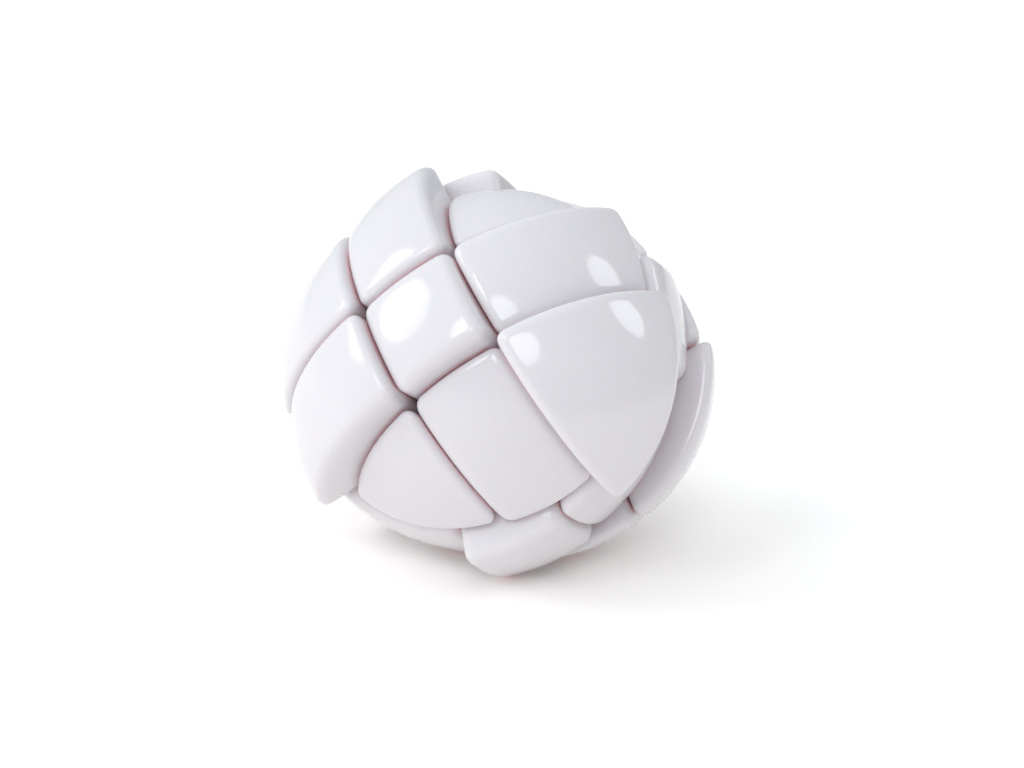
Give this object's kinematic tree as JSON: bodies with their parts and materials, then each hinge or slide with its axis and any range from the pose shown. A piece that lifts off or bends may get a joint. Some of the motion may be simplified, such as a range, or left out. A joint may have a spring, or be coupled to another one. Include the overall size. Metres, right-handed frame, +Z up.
{
  "type": "egg-shaped twisty puzzle",
  "caption": "Glossy white egg-shaped 3x3x3 twisty puzzle, scrambled into stepped curved tiles, with its layers turned slightly out of line.",
  "frame": {"origin": "middle of the bounding box's bottom face, on the surface that the puzzle rests on", "axes": "+Z up; +X along the longest side of the bounding box, to the right for someone who looks along +Y at the front layer"},
  "size_m": [0.079, 0.0713, 0.0701],
  "materials": {
    "skin_plastic": "polished white plastic, softly rounded edges",
    "foot_plastic": "plain moulded plastic in a warm greyed pink",
    "core_plastic": "plain moulded plastic, light grey",
    "screw_steel": "bright plated steel",
    "spring_steel": "drawn spring wire"
  },
  "bodies": {
    "middle_slice": {"centre_down_body": "foot_plastic", "centre_down_cap": "skin_plastic", "centre_left_body": "foot_plastic", "centre_left_cap": "skin_plastic", "centre_right_body": "foot_plastic", "centre_right_cap": "skin_plastic", "centre_screws": "screw_steel", "centre_springs": "spring_steel", "centre_up_body": "foot_plastic", "centre_up_cap": "skin_plastic", "centre_washers": "screw_steel", "core": "core_plastic", "edge_down_left_foot": "foot_plastic", "edge_down_left_shell": "skin_plastic", "edge_down_right_foot": "foot_plastic", "edge_down_right_shell": "skin_plastic", "edge_up_left_foot": "foot_plastic", "edge_up_left_shell": "skin_plastic", "edge_up_right_foot": "foot_plastic", "edge_up_right_shell": "skin_plastic"},
    "front_layer": {"centre_front_body": "foot_plastic", "centre_front_cap": "skin_plastic", "corner_front_down_left_foot": "foot_plastic", "corner_front_down_left_shell": "skin_plastic", "corner_front_down_right_foot": "foot_plastic", "corner_front_down_right_shell": "skin_plastic", "corner_front_up_left_foot": "foot_plastic", "corner_front_up_left_shell": "skin_plastic", "corner_front_up_right_foot": "foot_plastic", "corner_front_up_right_shell": "skin_plastic", "edge_front_down_foot": "foot_plastic", "edge_front_down_shell": "skin_plastic", "edge_front_left_foot": "foot_plastic", "edge_front_left_shell": "skin_plastic", "edge_front_right_foot": "foot_plastic", "edge_front_right_shell": "skin_plastic", "edge_front_up_foot": "foot_plastic", "edge_front_up_shell": "skin_plastic"},
    "back_layer": {"centre_back_body": "foot_plastic", "centre_back_cap": "skin_plastic", "corner_back_down_left_foot": "foot_plastic", "corner_back_down_left_shell": "skin_plastic", "corner_back_down_right_foot": "foot_plastic", "corner_back_down_right_shell": "skin_plastic", "corner_back_up_left_foot": "foot_plastic", "corner_back_up_left_shell": "skin_plastic", "corner_back_up_right_foot": "foot_plastic", "corner_back_up_right_shell": "skin_plastic", "edge_back_down_foot": "foot_plastic", "edge_back_down_shell": "skin_plastic", "edge_back_left_foot": "foot_plastic", "edge_back_left_shell": "skin_plastic", "edge_back_right_foot": "foot_plastic", "edge_back_right_shell": "skin_plastic", "edge_back_up_foot": "foot_plastic", "edge_back_up_shell": "skin_plastic"}
  },
  "joints": [
    {"name": "front_turn", "type": "hinge", "parent": "middle_slice", "child": "front_layer", "pos_m": [0.00014, 0.00229, 0.03492], "axis": [-0.402, -0.7659, 0.5018], "continuous": true},
    {"name": "back_turn", "type": "hinge", "parent": "middle_slice", "child": "back_layer", "pos_m": [0.00014, 0.00229, 0.03492], "axis": [0.402, 0.7659, -0.5018], "continuous": true}
  ]
}
